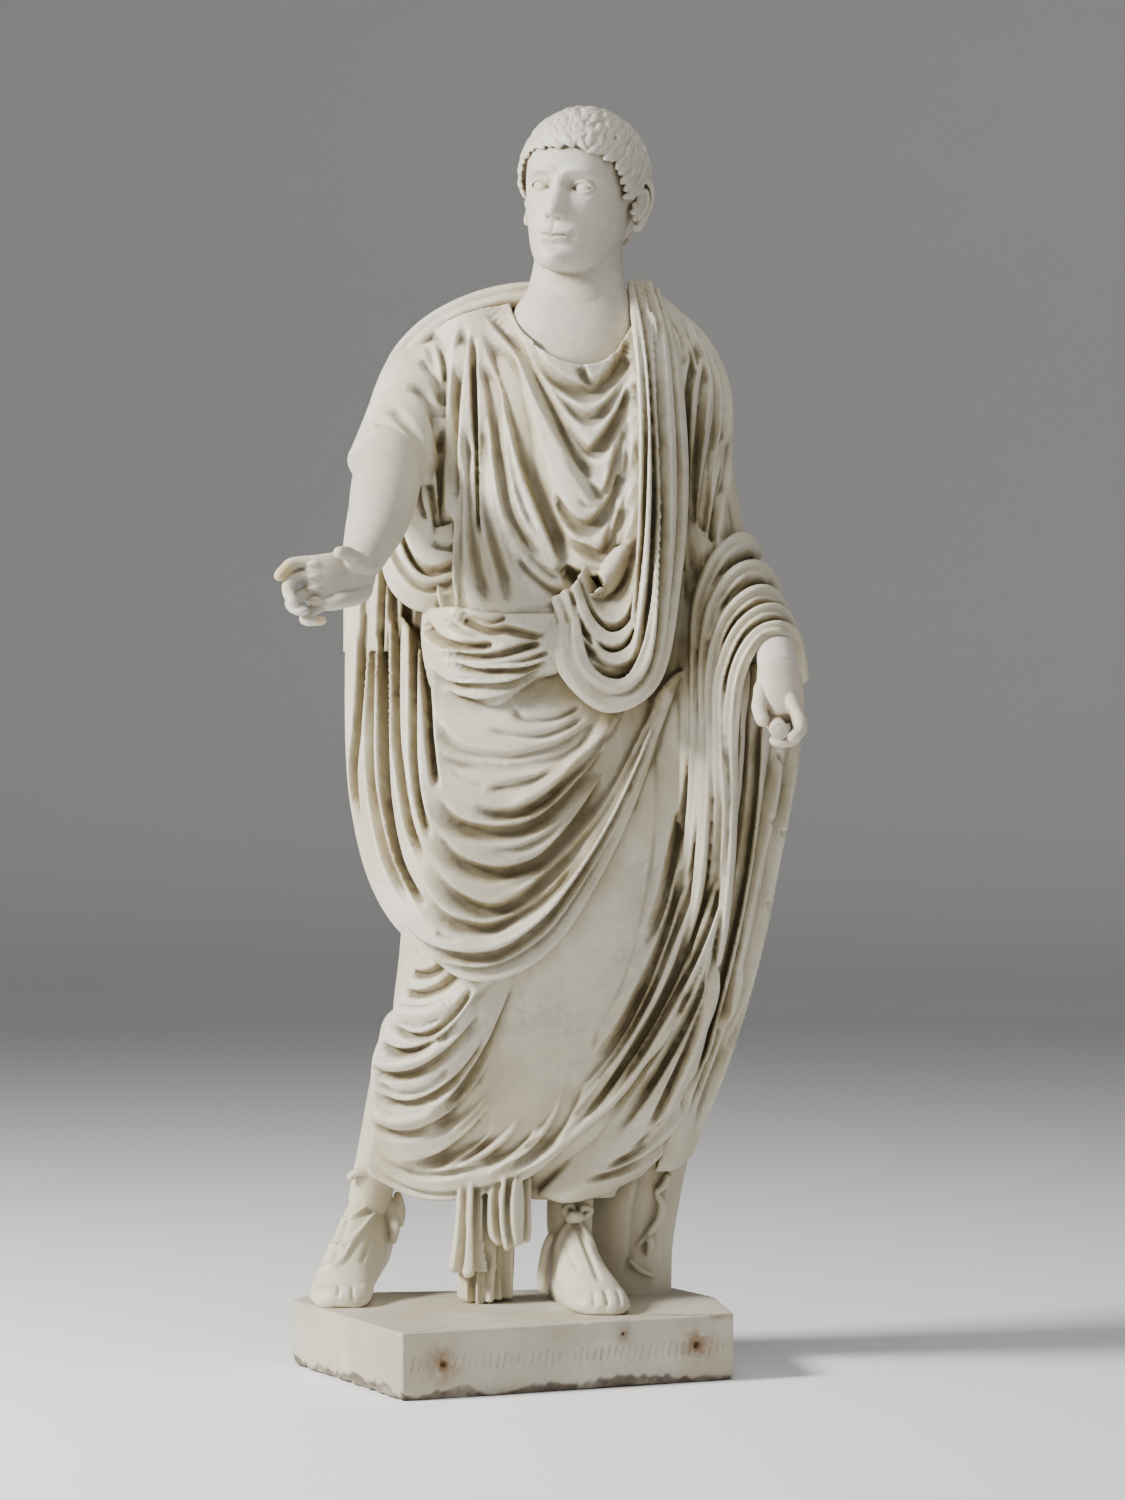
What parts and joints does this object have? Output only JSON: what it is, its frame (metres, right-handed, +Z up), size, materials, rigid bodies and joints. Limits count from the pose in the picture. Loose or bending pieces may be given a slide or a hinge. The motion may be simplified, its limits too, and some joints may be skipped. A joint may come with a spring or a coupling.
{
  "type": "classical marble statue",
  "caption": "Standing draped man in white marble, bare-headed, one arm held out and a scroll in the other hand, on an irregular low plinth.",
  "frame": {"origin": "a point inside the plinth's underside, on the surface that the statue stands on", "axes": "+Z up; -Y out of the plinth's long front edge; +X to the figure's left. The figure is turned about 24 degrees on its plinth, towards -X"},
  "size_m": [0.9653, 0.771, 2.0824],
  "materials": {
    "body_marble": "warm cream marble, polished folds worn matt, ochre-brown soil in the deep cuts",
    "head_marble": "paler fine-grained marble, smooth, with faint grey veins",
    "arm_marble": "pale smooth marble, with yellower repaired fingertips",
    "hand_marble": "pinkish tan marble, joined to a whiter wrist",
    "plinth_marble": "worn cream marble, chipped edges, rust-brown stains and a darker rough foot"
  },
  "bodies": {
    "root": {"figure": "body_marble", "head_and_neck": "head_marble", "right_forearm": "arm_marble", "left_hand_with_scroll": "hand_marble", "plinth": "plinth_marble"}
  },
  "joints": []
}
